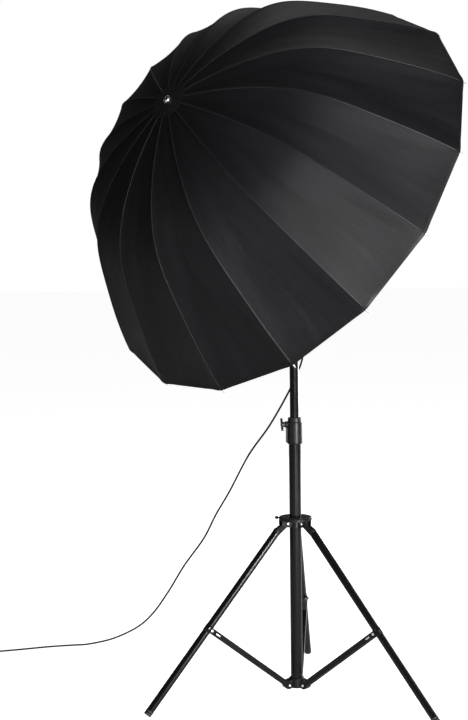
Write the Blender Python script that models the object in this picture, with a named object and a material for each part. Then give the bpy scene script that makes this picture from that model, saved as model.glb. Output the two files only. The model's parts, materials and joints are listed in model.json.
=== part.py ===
"""Deep 16-rib umbrella reflector with its light head, on a three-legged light stand.

Metres, +Z up, floor at z = 0. The stand's column is upright. The umbrella's shaft crosses the
column's axis at the shaft socket and rises from it towards the crown. "Umbrella frame" below means
x and y across the shaft and z along it, outwards through the crown, with its origin at the crown.
"Head frame" is the same set of axes with its origin at the shaft socket.
"""

import math

import bmesh
import bpy
from mathutils import Matrix, Vector

# ---- Column, from the floor up
COLUMN_X = 0.0628  # places the bounding box's centre over the origin
COLUMN_Y = 0.0522
GAP = 0.0003  # between pieces that touch
CLEARANCE = 0.0004  # of a bore round what turns or slides in it
LOWER_TUBE_R = 0.0185
UPPER_TUBE_R = 0.0140
TUBE_WALL = 0.0015
LOWER_TUBE_FOOT_Z = 0.0345
LOWER_TUBE_TOP_Z = 0.8670
UPPER_TUBE_FOOT_Z = 0.4500
UPPER_TUBE_TOP_Z = 1.4200
UPPER_TUBE_SHOE_R = 0.0166  # the guide at its lower end, inside the lower tube
UPPER_TUBE_SHOE_LENGTH = 0.0200
SPIGOT_R = 0.0080
SPIGOT_TOP_Z = 1.4620
LOCK_COLLAR_R = 0.0235
LOCK_COLLAR_FOOT_Z = 0.8020
LOCK_COLLAR_TOP_Z = 0.8820
KNOB_BOSS_Z = 0.8620
KNOB_DIRECTION = 188.0  # degrees round the column, of the lock knob

# ---- Tripod
FIRST_LEG_DIRECTION = 205.5  # degrees round the column
LEG_COUNT = 3
LEG_R = 0.0119
LEG_WALL = 0.0014
LEG_PIVOT_R = 0.0310  # from the column's axis
LEG_PIVOT_Z = 0.5535
LEG_AXIS_R = 0.0600  # the leg's centre line passes here ...
LEG_AXIS_Z = 0.5346
LEG_SPREAD = 0.8370  # ... and moves out this much for each metre down
LEG_FOOT_Z = 0.0062  # height of the centre of the leg's lower end
LEG_EAR_HALF = 0.0085
FOOT_LENGTH = 0.0080
BRACE_HUB_R = 0.0330
BRACE_HUB_Z = 0.0420
BRACE_KNEE_R = 0.2917
BRACE_KNEE_Z = 0.2445
BRACE_HEIGHT = 0.0173
BRACE_INNER_HALF = 0.0135
BRACE_SHEET = 0.0020
PIN_R = 0.0030
COLLAR_PLATE_R = 0.0515
COLLAR_PLATE_Z = 0.5625
COLLAR_TOP_Z = 0.5710
COLLAR_KNOB_DIRECTION = 165.0

# ---- Head
TILT_AXIS_Z = 1.5000
SOCKET_Z = 1.5330  # where the shaft crosses the column's axis
AIM_AZIMUTH = -46.24  # degrees, of the shaft from -Y, positive towards +X
AIM_ELEVATION = 31.66
LAMP_AXIS_UP = 0.0755  # of the lamp's axis above the shaft
LAMP_R = 0.0450
LAMP_FRONT = 0.0350
LAMP_BACK = -0.1650
RELIEF_LENGTH = 0.0300

# ---- Umbrella
RIBS = 16
RIM_R = 0.6750
FIRST_RIB_DIRECTION = 235.23  # degrees round the shaft
CROWN_REACH = 0.5755  # from the socket to the crown
RIB_SLOPES = (2.0, 12.0, 27.0, 54.0, 59.0, 66.0)  # degrees, at equal steps from crown to tip
CURVE_STEPS = 240
RIB_SET_IN = 0.0058  # of a rib's centre line under the cloth's outer face
RIB_PIVOT_R = 0.0160
RIB_R = 0.0021
JOINT_SHARE = 0.45  # of the rib's length, where its stretcher is pinned
STRETCHER_R = 0.0016
STRETCHER_SIDE = 0.0045  # a stretcher lies beside its rib
STRETCHER_EYE = 0.0008  # half the thickness of its flat eyes
RUNNER_PIVOT_R = 0.0225
RUNNER_DROP = 0.3000  # from the crown to the runner's pivots
SHAFT_R = 0.0040
SHAFT_TAIL = 0.7255
CLOTH = 0.0012
CLOTH_RIM_SHARE = 0.992
GORE_SAG = 0.045  # of a gore's width, at its middle
SLOT_WIDTH = 0.0026

# ---- Cord, as offsets from the column's foot; the last points lie on the floor
CORD_R = 0.0030
CORD_FLOOR_Z = 0.0033
CORD_POINTS = 80
CORD_ROUTE = (
    (0.169, 0.161, 1.471), (0.176, 0.168, 1.437), (0.160, 0.153, 1.395), (0.122, 0.118, 1.358),
    (0.074, 0.073, 1.330), (0.034, 0.034, 1.296), (0.0165, 0.0165, 1.240), (0.021, 0.023, 1.168),
    (0.029, 0.036, 1.095), (0.022, 0.045, 1.048), (0.004, 0.062, 1.008), (-0.018, 0.078, 0.955),
    (-0.079, 0.123, 0.845), (-0.149, 0.173, 0.742), (-0.214, 0.220, 0.617), (-0.261, 0.253, 0.535),
    (-0.305, 0.285, 0.448), (-0.375, 0.336, 0.346), (-0.433, 0.378, 0.248), (-0.491, 0.419, 0.163),
    (-0.550, 0.462, 0.104), (-0.640, 0.527, 0.048), (-0.735, 0.585, 0.012),
    (-0.800, 0.601, CORD_FLOOR_Z), (-0.880, 0.580, CORD_FLOOR_Z), (-0.978, 0.543, CORD_FLOOR_Z),
    (-1.075, 0.509, CORD_FLOOR_Z), (-1.150, 0.468, CORD_FLOOR_Z), (-1.198, 0.405, CORD_FLOOR_Z),
    (-1.213, 0.335, CORD_FLOOR_Z), (-1.210, 0.290, CORD_FLOOR_Z),
)
PLUG_DIRECTION = 275.0
PLUG_LENGTH = 0.0480
PLUG_R = 0.0130
PLUG_FLATNESS = 0.62  # of its height to its width

# ---- Colours: base colour, roughness, metallic
BLACK_TUBE = ((0.012, 0.012, 0.013), 0.22, 0.6)
BLACK_PLASTIC = ((0.015, 0.015, 0.016), 0.45, 0.0)
BLACK_CLOTH = ((0.020, 0.020, 0.022), 0.62, 0.0)
BRIGHT_STEEL = ((0.62, 0.62, 0.64), 0.25, 1.0)
DARK_STEEL = ((0.05, 0.05, 0.055), 0.35, 0.9)
RUBBER = ((0.012, 0.012, 0.012), 0.75, 0.0)

COLUMN = Matrix.Translation((COLUMN_X, COLUMN_Y, 0.0))


def turn(degrees, axis="Z"):
    return Matrix.Rotation(math.radians(degrees), 4, axis)


def aim_frame():
    """The head frame: x level, y up across the shaft, z out along the shaft."""
    azimuth, elevation = math.radians(AIM_AZIMUTH), math.radians(AIM_ELEVATION)
    along = Vector((
        math.sin(azimuth) * math.cos(elevation),
        -math.cos(azimuth) * math.cos(elevation),
        math.sin(elevation),
    ))
    level = Vector((math.cos(azimuth), math.sin(azimuth), 0.0))
    axes = Matrix((level, along.cross(level), along)).transposed().to_4x4()
    return COLUMN @ Matrix.Translation((0, 0, SOCKET_Z)) @ axes


HEAD = aim_frame()
UMBRELLA = HEAD @ Matrix.Translation((0, 0, CROWN_REACH))


# ---- Making objects

def clear_scene():
    for item in list(bpy.data.objects):
        bpy.data.objects.remove(item, do_unlink=True)


def material(name, look):
    found = bpy.data.materials.get(name)
    if found:
        return found
    made = bpy.data.materials.new(name)
    made.use_nodes = True
    colour, roughness, metallic = look
    shader = made.node_tree.nodes["Principled BSDF"]
    shader.inputs["Base Color"].default_value = (*colour, 1.0)
    shader.inputs["Roughness"].default_value = roughness
    shader.inputs["Metallic"].default_value = metallic
    made.diffuse_color = (*colour, 1.0)
    return made


def put(name, mesh, place, finish, look):
    """An object of this mesh at this place, smooth on its round faces, with its own material."""
    made = bpy.data.objects.new(name, mesh)
    bpy.context.scene.collection.objects.link(made)
    made.matrix_world = place
    mesh.materials.clear()
    mesh.materials.append(material(finish, look))
    mesh.shade_smooth()
    mesh.set_sharp_from_angle(angle=math.radians(35))
    return made


def mesh_of(bm):
    bmesh.ops.recalc_face_normals(bm, faces=bm.faces)
    mesh = bpy.data.meshes.new("shape")
    bm.to_mesh(mesh)
    bm.free()
    return mesh


def turned(profile, sides, closed=False):
    """A profile of (radius, height) turned about Z. A closed profile makes a ring."""
    bm = bmesh.new()
    rings = []
    for radius, height in profile:
        if radius == 0:
            rings.append([bm.verts.new((0, 0, height))])
            continue
        angles = (2 * math.pi * i / sides for i in range(sides))
        rings.append([bm.verts.new((radius * math.cos(a), radius * math.sin(a), height)) for a in angles])
    pairs = list(zip(rings, rings[1:]))
    if closed:
        pairs.append((rings[-1], rings[0]))
    for lower, upper in pairs:
        for i in range(sides):
            j = (i + 1) % sides
            corners = [lower[i % len(lower)], lower[j % len(lower)]]
            corners += [upper[j % len(upper)], upper[i % len(upper)]]
            bm.faces.new(list(dict.fromkeys(corners)))
    return mesh_of(bm)


def extruded(outline, half, across="Z"):
    """An outline in the plane across an axis, made 2 * half thick along that axis."""
    bm = bmesh.new()
    loops = []
    for side in (-half, half):
        if across == "Y":
            loops.append([bm.verts.new((a, side, b)) for a, b in outline])
        elif across == "X":
            loops.append([bm.verts.new((side, a, b)) for a, b in outline])
        else:
            loops.append([bm.verts.new((a, b, side)) for a, b in outline])
    count = len(outline)
    for loop in loops:
        bm.faces.new(loop)
    for i in range(count):
        j = (i + 1) % count
        bm.faces.new((loops[0][i], loops[0][j], loops[1][j], loops[1][i]))
    return mesh_of(bm)


def box(low, high):
    outline = ((low[0], low[1]), (high[0], low[1]), (high[0], high[1]), (low[0], high[1]))
    mesh = extruded(outline, (high[2] - low[2]) / 2)
    mesh.transform(Matrix.Translation((0, 0, (low[2] + high[2]) / 2)))
    return mesh


def rod(radius, start, end, sides=12):
    """A cylinder between two points."""
    start, end = Vector(start), Vector(end)
    length = (end - start).length
    mesh = turned(((0, 0), (radius, 0), (radius, length), (0, length)), sides)
    mesh.transform(Matrix.Translation(start) @ (end - start).to_track_quat("Z", "Y").to_matrix().to_4x4())
    return mesh


def arc(centre, radius, first, last, steps):
    """Points on an arc between two directions in degrees, both ends included."""
    angles = [math.radians(first + (last - first) * i / steps) for i in range(steps + 1)]
    return [(centre[0] + radius * math.cos(a), centre[1] + radius * math.sin(a)) for a in angles]


def combined(base, others, operation):
    """The base mesh after a Boolean with each other mesh."""
    for other in others:
        holders = []
        for mesh in (base, other):
            holder = bpy.data.objects.new("shape", mesh)
            bpy.context.scene.collection.objects.link(holder)
            holders.append(holder)
        cut = holders[0].modifiers.new("combine", "BOOLEAN")
        cut.operation = operation
        cut.solver = "EXACT"
        cut.object = holders[1]
        bpy.context.view_layer.update()
        seen = holders[0].evaluated_get(bpy.context.evaluated_depsgraph_get())
        base = bpy.data.meshes.new_from_object(seen)
        for holder in holders:
            bpy.data.objects.remove(holder, do_unlink=True)
    return base


def fused(base, *others):
    return combined(base, others, "UNION")


def cut(base, *others):
    return combined(base, others, "DIFFERENCE")


def lofted(stations, sides):
    """A bar through stations of (x, z, slope, half width along y, half height), closed at both ends."""
    bm = bmesh.new()
    rings = []
    for x, z, slope, wide, high in stations:
        ring = []
        for i in range(sides):
            angle = 2 * math.pi * (i + 0.5) / sides
            up = high * math.sin(angle)
            place = (x + up * math.sin(slope), wide * math.cos(angle), z + up * math.cos(slope))
            ring.append(bm.verts.new(place))
        rings.append(ring)
    for ring, after in zip(rings, rings[1:]):
        for i in range(sides):
            j = (i + 1) % sides
            bm.faces.new((ring[i], ring[j], after[j], after[i]))
    bm.faces.new(rings[0])
    bm.faces.new(rings[-1])
    return mesh_of(bm)


# ---- Umbrella

def rib_slope(share):
    """The slope of a rib in radians, at a share of its length, on a smooth curve through RIB_SLOPES."""
    last = len(RIB_SLOPES) - 1
    step = min(int(share * last), last - 1)
    f = share * last - step
    knots = (2 * RIB_SLOPES[0] - RIB_SLOPES[1], *RIB_SLOPES, 2 * RIB_SLOPES[-1] - RIB_SLOPES[-2])
    a, b, c, d = knots[step:step + 4]
    value = b + 0.5 * f * (c - a + f * (2 * a - 5 * b + 4 * c - d + f * (3 * (b - c) + d - a)))
    return math.radians(value)


def rib_line():
    """(radius, height, slope) of the cloth over a rib, at CURVE_STEPS equal steps from the crown."""
    line = [(0.0, 0.0)]
    for i in range(CURVE_STEPS):
        slope = rib_slope((i + 0.5) / CURVE_STEPS)
        line.append((line[-1][0] + math.cos(slope), line[-1][1] - math.sin(slope)))
    scale = RIM_R / line[-1][0]
    return [(r * scale, z * scale, rib_slope(i / CURVE_STEPS)) for i, (r, z) in enumerate(line)]


LINE = rib_line()


def on_line(share, set_in=0.0):
    """(radius, height, slope) at a share of the rib's length, set in under the cloth's outer face."""
    place = share * CURVE_STEPS
    step = min(int(place), CURVE_STEPS - 1)
    f = place - step
    r, z, slope = (a + (b - a) * f for a, b in zip(LINE[step], LINE[step + 1]))
    return r - set_in * math.sin(slope), z - set_in * math.cos(slope), slope


def share_at_radius(radius):
    return next(i for i, (r, _, _) in enumerate(LINE) if r >= radius) / CURVE_STEPS


def rib_place(i):
    return UMBRELLA @ turn(FIRST_RIB_DIRECTION + 360 * i / RIBS)


def rib_pivot():
    _, height, _ = on_line(share_at_radius(RIB_PIVOT_R), RIB_SET_IN)
    return Vector((RIB_PIVOT_R, 0, height))


def rib_mesh():
    """A round fibreglass rib with a flat eye at the crown, a socket at the stretcher and a tip."""
    pivot = rib_pivot()
    start = share_at_radius(RIB_PIVOT_R)
    shares = [start + (1 - start) * s for s in (0.026, 0.14, 0.25, 0.34)]
    around_joint = [JOINT_SHARE + d for d in (-0.018, -0.012, 0.012, 0.018)]
    outer = [0.53, 0.60, 0.72, 0.86, 0.982]
    socket = STRETCHER_SIDE - STRETCHER_EYE - GAP
    stations = [(-0.0026, 0.0, 0.0, 0.0009, 0.0012), (0.0, 0.0, 0.0, 0.0009, 0.0022)]
    for share in [*shares, *around_joint, *outer]:
        r, z, slope = on_line(share, RIB_SET_IN)
        near_joint = abs(share - JOINT_SHARE) < 0.015
        size = (socket, 0.0027) if near_joint else (RIB_R, RIB_R)
        stations.append((r - pivot.x, z - pivot.z, slope, *size))
    for share, radius in ((0.988, 0.0026), (0.998, 0.0026), (1.0, 0.0012)):
        r, z, slope = on_line(share, RIB_SET_IN)
        stations.append((r - pivot.x, z - pivot.z, slope, radius, radius))
    return lofted(stations, 6)


def stretcher_mesh():
    """A straight rod beside the rib, from the runner's pivot to the rib's socket, with flat eyes."""
    r, z, _ = on_line(JOINT_SHARE, RIB_SET_IN)
    reach = Vector((r - RUNNER_PIVOT_R, 0, z + RUNNER_DROP))
    slope = -math.atan2(reach.z, reach.x)
    stations = []
    for distance, wide, high in (
        (-0.0022, STRETCHER_EYE, 0.0014), (0.0, STRETCHER_EYE, 0.0024), (0.006, STRETCHER_EYE, 0.0022),
        (0.016, STRETCHER_R, STRETCHER_R), (reach.length - 0.016, STRETCHER_R, STRETCHER_R),
        (reach.length - 0.006, STRETCHER_EYE, 0.0024), (reach.length, STRETCHER_EYE, 0.0028),
        (reach.length + 0.0018, STRETCHER_EYE, 0.0012),
    ):
        point = reach.normalized() * distance
        stations.append((point.x, point.z, slope, wide, high))
    mesh = lofted(stations, 6)
    mesh.transform(Matrix.Translation((0, STRETCHER_SIDE, 0)))
    return mesh


def slotted_disc(radius, slot_foot, offset, half):
    """A disc with one slot for each rib, open at the disc's edge."""
    outline = []
    for i in range(RIBS):
        angle = 2 * math.pi * i / RIBS
        low, high = offset - SLOT_WIDTH / 2, offset + SLOT_WIDTH / 2
        corners = [
            (math.sqrt(radius**2 - low**2), low), (slot_foot, low),
            (slot_foot, high), (math.sqrt(radius**2 - high**2), high),
        ]
        for x, y in corners:
            outline.append((
                x * math.cos(angle) - y * math.sin(angle),
                x * math.sin(angle) + y * math.cos(angle),
            ))
    return extruded(outline, half)


def make_umbrella():
    rib, stretcher = rib_mesh(), stretcher_mesh()
    pivot = rib_pivot()
    runner_pivot = Vector((RUNNER_PIVOT_R, 0, -RUNNER_DROP))
    for i in range(RIBS):
        place = rib_place(i)
        put(f"rib_{i + 1:02d}", rib, place @ Matrix.Translation(pivot), "rib", DARK_STEEL)
        put(
            f"stretcher_{i + 1:02d}", stretcher, place @ Matrix.Translation(runner_pivot),
            "stretcher", BRIGHT_STEEL,
        )

    slots = turn(FIRST_RIB_DIRECTION)
    crown = slotted_disc(0.0205, 0.0110, 0.0, 0.0036)
    crown.transform(Matrix.Translation((0, 0, pivot.z - 0.0016)))
    crown = fused(crown, rod(0.0090, (0, 0, pivot.z), (0, 0, -0.0230), 20))
    crown = cut(crown, rod(SHAFT_R + CLEARANCE, (0, 0, 0.01), (0, 0, -0.04), 20))
    put("crown", crown, UMBRELLA @ slots, "crown", BLACK_PLASTIC)

    runner = slotted_disc(0.0275, 0.0165, STRETCHER_SIDE, 0.0045)
    grip = turned(
        ((0, 0.010), (0.0085, 0.010), (0.0085, -0.012), (0.0105, -0.016), (0.0085, -0.022),
         (0.0085, -0.046), (0.0110, -0.048), (0.0110, -0.052), (0, -0.052)), 20,
    )
    runner = cut(fused(runner, grip), rod(SHAFT_R + CLEARANCE, (0, 0, 0.03), (0, 0, -0.08), 20))
    runner_place = UMBRELLA @ Matrix.Translation((0, 0, -RUNNER_DROP)) @ slots
    put("runner", runner, runner_place, "runner", BLACK_PLASTIC)

    tail = -SHAFT_TAIL
    shaft = turned(((0, 0.0060), (SHAFT_R, 0.0060), (SHAFT_R, tail + 0.0015), (0.0030, tail), (0, tail)), 16)
    put("shaft", shaft, UMBRELLA, "shaft", BRIGHT_STEEL)
    ferrule = (
        (0.0044, 0.0007), (0.0118, 0.0007), (0.0122, 0.0030), (0.0112, 0.0062), (0.0090, 0.0078),
        (0.0066, 0.0078), (0.0044, 0.0060),
    )
    put("ferrule", turned(ferrule, 20, closed=True), UMBRELLA, "ferrule", BRIGHT_STEEL)
    put("canopy", canopy_mesh(), UMBRELLA @ slots, "canopy", BLACK_CLOTH)


def canopy_point(share, column, columns, depth):
    """A point of the cloth, depth under its outer face. Between ribs it is drawn flat and sags in."""
    r, z, slope = on_line(share)
    half_gore = math.pi / RIBS
    place = column / columns
    angle = 2 * half_gore * place
    fraction = place % 1.0
    chord = math.cos(half_gore) / math.cos(2 * half_gore * (fraction - 0.5))
    hem = min(1.0, max(0.0, (CLOTH_RIM_SHARE - share) / 0.12))
    sag = GORE_SAG * 2 * r * math.sin(half_gore) * 4 * fraction * (1 - fraction) * hem * (2 - hem)
    inwards = sag + depth
    radius = r * chord - inwards * math.sin(slope)
    return radius * math.cos(angle), radius * math.sin(angle), z - inwards * math.cos(slope)


def canopy_mesh():
    """One thin closed skin over all the ribs, with a small hole round the shaft.

    Both of its faces are split along the same diagonals, so they stay a cloth's thickness apart.
    """
    per_gore = 3
    around = per_gore * RIBS
    start = share_at_radius(0.0062)
    flat = [start, 0.03, 0.11, 0.19, 0.27]
    bend = [0.34, 0.385, 0.425, 0.465, 0.505, 0.55]
    shares = [*flat, *bend, 0.63, 0.75, 0.87, CLOTH_RIM_SHARE]
    bm = bmesh.new()
    layers = [
        [[bm.verts.new(canopy_point(s, c, per_gore, depth)) for c in range(around)] for s in shares]
        for depth in (0.0, CLOTH)
    ]
    outer, inner = layers
    for layer in layers:
        for row, after in zip(layer, layer[1:]):
            for i in range(around):
                j = (i + 1) % around
                bm.faces.new((row[i], row[j], after[j]))
                bm.faces.new((row[i], after[j], after[i]))
    for edge in (0, -1):
        for i in range(around):
            j = (i + 1) % around
            bm.faces.new((outer[edge][i], outer[edge][j], inner[edge][j], inner[edge][i]))
    return mesh_of(bm)


# ---- Column

def make_column():
    bore = LOWER_TUBE_R - TUBE_WALL
    tube = (
        (LOWER_TUBE_R, LOWER_TUBE_TOP_Z), (LOWER_TUBE_R, LOWER_TUBE_FOOT_Z),
        (bore, LOWER_TUBE_FOOT_Z), (bore, LOWER_TUBE_TOP_Z),
    )
    put("lower_tube", turned(tube, 24, closed=True), COLUMN, "lower_tube", BLACK_TUBE)

    bore = UPPER_TUBE_R - TUBE_WALL
    shoe = UPPER_TUBE_FOOT_Z + UPPER_TUBE_SHOE_LENGTH
    plug = UPPER_TUBE_TOP_Z - 0.012
    tube = (
        (0, SPIGOT_TOP_Z), (SPIGOT_R, SPIGOT_TOP_Z), (SPIGOT_R, UPPER_TUBE_TOP_Z),
        (UPPER_TUBE_R, UPPER_TUBE_TOP_Z), (UPPER_TUBE_R, shoe), (UPPER_TUBE_SHOE_R, shoe),
        (UPPER_TUBE_SHOE_R, UPPER_TUBE_FOOT_Z), (bore, UPPER_TUBE_FOOT_Z), (bore, plug), (0, plug),
    )
    put("upper_tube", turned(tube, 24), COLUMN, "upper_tube", BLACK_TUBE)
    make_lock_collar()


def make_lock_collar():
    """The clamp over the lower tube's top, with a boss for its knob and a split ridge beside it."""
    foot, top = LOCK_COLLAR_FOOT_Z, LOCK_COLLAR_TOP_Z
    shoulder = LOWER_TUBE_TOP_Z + GAP
    bore, guide = LOWER_TUBE_R + GAP, UPPER_TUBE_R + CLEARANCE
    collar = turned(
        ((bore, foot), (LOCK_COLLAR_R - 0.001, foot), (LOCK_COLLAR_R, foot + 0.002),
         (LOCK_COLLAR_R, top - 0.014), (LOCK_COLLAR_R - 0.002, top - 0.010),
         (LOCK_COLLAR_R - 0.003, top), (guide, top), (guide, shoulder), (bore, shoulder)), 24, closed=True,
    )
    boss = rod(0.0100, (0.0205, 0, KNOB_BOSS_Z), (0.0300, 0, KNOB_BOSS_Z), 16)
    ridge = box((0.0215, -0.0045, foot + 0.004), (0.0272, 0.0045, KNOB_BOSS_Z))
    place = COLUMN @ turn(KNOB_DIRECTION)
    put("lock_collar", fused(collar, ridge, boss), place, "lock_collar", BLACK_PLASTIC)

    hub = turned(((0, 0), (0.0075, 0), (0.0085, 0.003), (0.0085, 0.010), (0.0060, 0.0125), (0, 0.0125)), 16)
    wing = extruded(
        [*arc((0.018, 0), 0.0042, -90, 90, 4), *arc((-0.018, 0), 0.0042, 90, 270, 4)], 0.0032,
    )
    wing.transform(Matrix.Translation((0, 0, 0.0095)))
    knob_place = place @ Matrix.Translation((0.0303, 0, KNOB_BOSS_Z)) @ turn(90, "Y") @ turn(35)
    put("lock_knob", fused(hub, wing), knob_place, "lock_knob", BLACK_PLASTIC)


# ---- Tripod

def leg_direction(i):
    return turn(FIRST_LEG_DIRECTION + 360 * i / LEG_COUNT)


def leg_axis_point(height):
    return Vector((LEG_AXIS_R + LEG_SPREAD * (LEG_AXIS_Z - height), 0, height))


def make_leg_collar():
    """A sliding sleeve under a round plate, with a pair of cheeks and a pin for each leg."""
    foot, bore, outside = 0.5410, LOWER_TUBE_R + 0.0005, 0.0213
    sleeve = turned(
        ((bore, foot), (outside, foot), (outside, COLLAR_PLATE_Z), (COLLAR_PLATE_R, COLLAR_PLATE_Z),
         (COLLAR_PLATE_R, COLLAR_TOP_Z - 0.002), (COLLAR_PLATE_R - 0.002, COLLAR_TOP_Z),
         (bore, COLLAR_TOP_Z)), 30, closed=True,
    )
    outline = [
        (0.0195, COLLAR_PLATE_Z + 0.002), (0.0195, foot + 0.001),
        *arc((LEG_PIVOT_R, LEG_PIVOT_Z), 0.0118, 255, 300, 2), (0.0485, 0.5478), (0.0510, 0.5500),
        (0.0510, COLLAR_PLATE_Z + 0.002),
    ]
    additions = []
    for i in range(LEG_COUNT):
        for side in (-1, 1):
            cheek = extruded(outline, 0.0020, "Y")
            cheek.transform(leg_direction(i) @ Matrix.Translation((0, side * 0.0110, 0)))
            additions.append(cheek)
        pin = rod(PIN_R, (LEG_PIVOT_R, -0.0140, LEG_PIVOT_Z), (LEG_PIVOT_R, 0.0140, LEG_PIVOT_Z), 8)
        pin.transform(leg_direction(i))
        additions.append(pin)
    put("leg_collar", fused(sleeve, *additions), COLUMN, "leg_collar", BLACK_PLASTIC)

    knob = turned(
        ((0, 0), (0.0022, 0), (0.0022, 0.004), (0.0044, 0.005), (0.0044, 0.0125), (0.003, 0.0140),
         (0, 0.0140)), 12,
    )
    direction = turn(COLLAR_KNOB_DIRECTION)
    rim_middle = (COLLAR_PLATE_R + GAP, 0, (COLLAR_PLATE_Z + COLLAR_TOP_Z) / 2)
    place = COLUMN @ direction @ Matrix.Translation(rim_middle) @ turn(90, "Y")
    put("leg_collar_knob", knob, place, "leg_collar_knob", BLACK_PLASTIC)


def make_base_hub():
    """A cup under the lower tube, with a tongue and a pin for each brace."""
    seat = LOWER_TUBE_FOOT_Z - GAP
    hub = turned(
        ((0, 0.0310), (0.0225, 0.0310), (0.0240, 0.0330), (0.0240, 0.0600), (0.0225, 0.0620),
         (LOWER_TUBE_R + GAP, 0.0620), (LOWER_TUBE_R + GAP, seat), (0, seat)), 24,
    )
    outline = [
        (0.0215, 0.0590), (0.0215, 0.0320),
        *arc((BRACE_HUB_R, BRACE_HUB_Z), 0.0130, 250, 415, 6),
    ]
    additions = []
    for i in range(LEG_COUNT):
        tongue = extruded(outline, 0.0125, "Y")
        pin = rod(PIN_R, (BRACE_HUB_R, -0.0180, BRACE_HUB_Z), (BRACE_HUB_R, 0.0180, BRACE_HUB_Z), 8)
        for piece in (tongue, pin):
            piece.transform(leg_direction(i))
            additions.append(piece)
    put("base_hub", fused(hub, *additions), COLUMN, "base_hub", BLACK_PLASTIC)


def make_leg(i):
    """A round tube with a plug in its top end, whose ear turns on the collar's pin."""
    pivot = Vector((LEG_PIVOT_R, 0, LEG_PIVOT_Z))
    top = leg_axis_point(LEG_AXIS_Z - 0.0030)
    end = leg_axis_point(LEG_FOOT_Z)
    down = (end - top).normalized()
    tube_end = end - down * FOOT_LENGTH
    length = (tube_end - top).length
    bore = LEG_R - LEG_WALL
    tube = turned(
        ((0, 0), (LEG_R, 0), (LEG_R, length), (bore, length), (bore, 0.030), (0, 0.030)), 20,
    )
    stand = Matrix.Translation(top - pivot) @ down.to_track_quat("Z", "Y").to_matrix().to_4x4()
    tube.transform(stand)

    towards = math.degrees(math.atan2(down.z, down.x))
    centre = top - pivot
    across = Vector((-down.z, 0, down.x)) * 0.0085
    into = centre + down * 0.010
    outline = [
        *arc((0, 0), 0.0080, towards + 100, towards + 260, 8),
        (into.x - across.x, into.z - across.z), (into.x + across.x, into.z + across.z),
        (centre.x + across.x, centre.z + across.z),
    ]
    plug = cut(extruded(outline, LEG_EAR_HALF, "Y"), rod(PIN_R + GAP, (0, -0.02, 0), (0, 0.02, 0), 10))
    place = COLUMN @ leg_direction(i) @ Matrix.Translation(pivot)
    put(f"leg_{i + 1}", fused(tube, plug), place, "leg", BLACK_TUBE)

    spigot = bore - GAP
    cap = turned(
        ((0, -0.018), (spigot, -0.018), (spigot, GAP), (LEG_R, GAP), (LEG_R, FOOT_LENGTH),
         (0, FOOT_LENGTH)), 20,
    )
    cap.transform(Matrix.Translation(tube_end - pivot) @ down.to_track_quat("Z", "Y").to_matrix().to_4x4())
    floor = box((-1, -1, -1), (1, 1, -LEG_PIVOT_Z))
    put(f"foot_{i + 1}", cut(cap, floor), place, "foot", RUBBER)


def make_brace(i):
    """A channel of bent sheet, open below, whose two flanges straddle the hub's tongue and the leg."""
    reach = Vector((BRACE_KNEE_R - BRACE_HUB_R, 0, BRACE_KNEE_Z - BRACE_HUB_Z))
    length, half = reach.length, BRACE_HEIGHT / 2
    outline = [*arc((length, 0), half, -90, 90, 6), *arc((0, 0), half, 90, 270, 6)]
    middle = BRACE_INNER_HALF + BRACE_SHEET / 2
    sides = []
    for side in (-1, 1):
        flange = extruded(outline, BRACE_SHEET / 2, "Y")
        flange.transform(Matrix.Translation((0, side * middle, 0)))
        sides.append(flange)
    web = box(
        (0.030, -middle - BRACE_SHEET / 4, half - BRACE_SHEET - 0.0002),
        (length - 0.055, middle + BRACE_SHEET / 4, half - 0.0002),
    )
    channel = cut(fused(web, *sides), rod(PIN_R + GAP, (0, -0.03, 0), (0, 0.03, 0), 10))
    rise = -math.degrees(math.atan2(reach.z, reach.x))
    place = COLUMN @ leg_direction(i) @ Matrix.Translation((BRACE_HUB_R, 0, BRACE_HUB_Z)) @ turn(rise, "Y")
    put(f"brace_{i + 1}", channel, place, "brace", BLACK_TUBE)


def make_tripod():
    make_leg_collar()
    make_base_hub()
    for i in range(LEG_COUNT):
        make_leg(i)
        make_brace(i)


# ---- Head

def make_swivel():
    """A sleeve that turns on the upper tube's spigot, under a pair of cheeks for the tilt axis."""
    foot, cap = UPPER_TUBE_TOP_Z + 0.0035, SPIGOT_TOP_Z + 0.0005
    bore = SPIGOT_R + CLEARANCE
    sleeve = turned(
        ((0, cap), (bore, cap), (bore, foot), (0.0160, foot), (0.0170, foot + 0.002),
         (0.0170, 0.4 * foot + 0.6 * cap), (0.0150, cap + 0.0060), (0, cap + 0.0060)), 24,
    )
    bridge = box((-0.0150, -0.0130, cap), (0.0150, 0.0130, cap + 0.0065))
    outline = [(-0.0130, cap), (0.0130, cap), *arc((0, TILT_AXIS_Z), 0.0130, 0, 180, 8)]
    cheeks = []
    for side in (-1, 1):
        cheek = extruded(outline, 0.0020, "X")
        cheek.transform(Matrix.Translation((side * 0.0130, 0, 0)))
        cheeks.append(cheek)
    bracket = fused(sleeve, bridge, *cheeks)
    put("swivel_bracket", bracket, COLUMN @ turn(AIM_AZIMUTH), "swivel_bracket", BLACK_PLASTIC)


def tilt_point():
    """The tilt axis's point on the column, in the head frame."""
    return HEAD.inverted() @ (COLUMN @ Vector((0, 0, TILT_AXIS_Z)))


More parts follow.
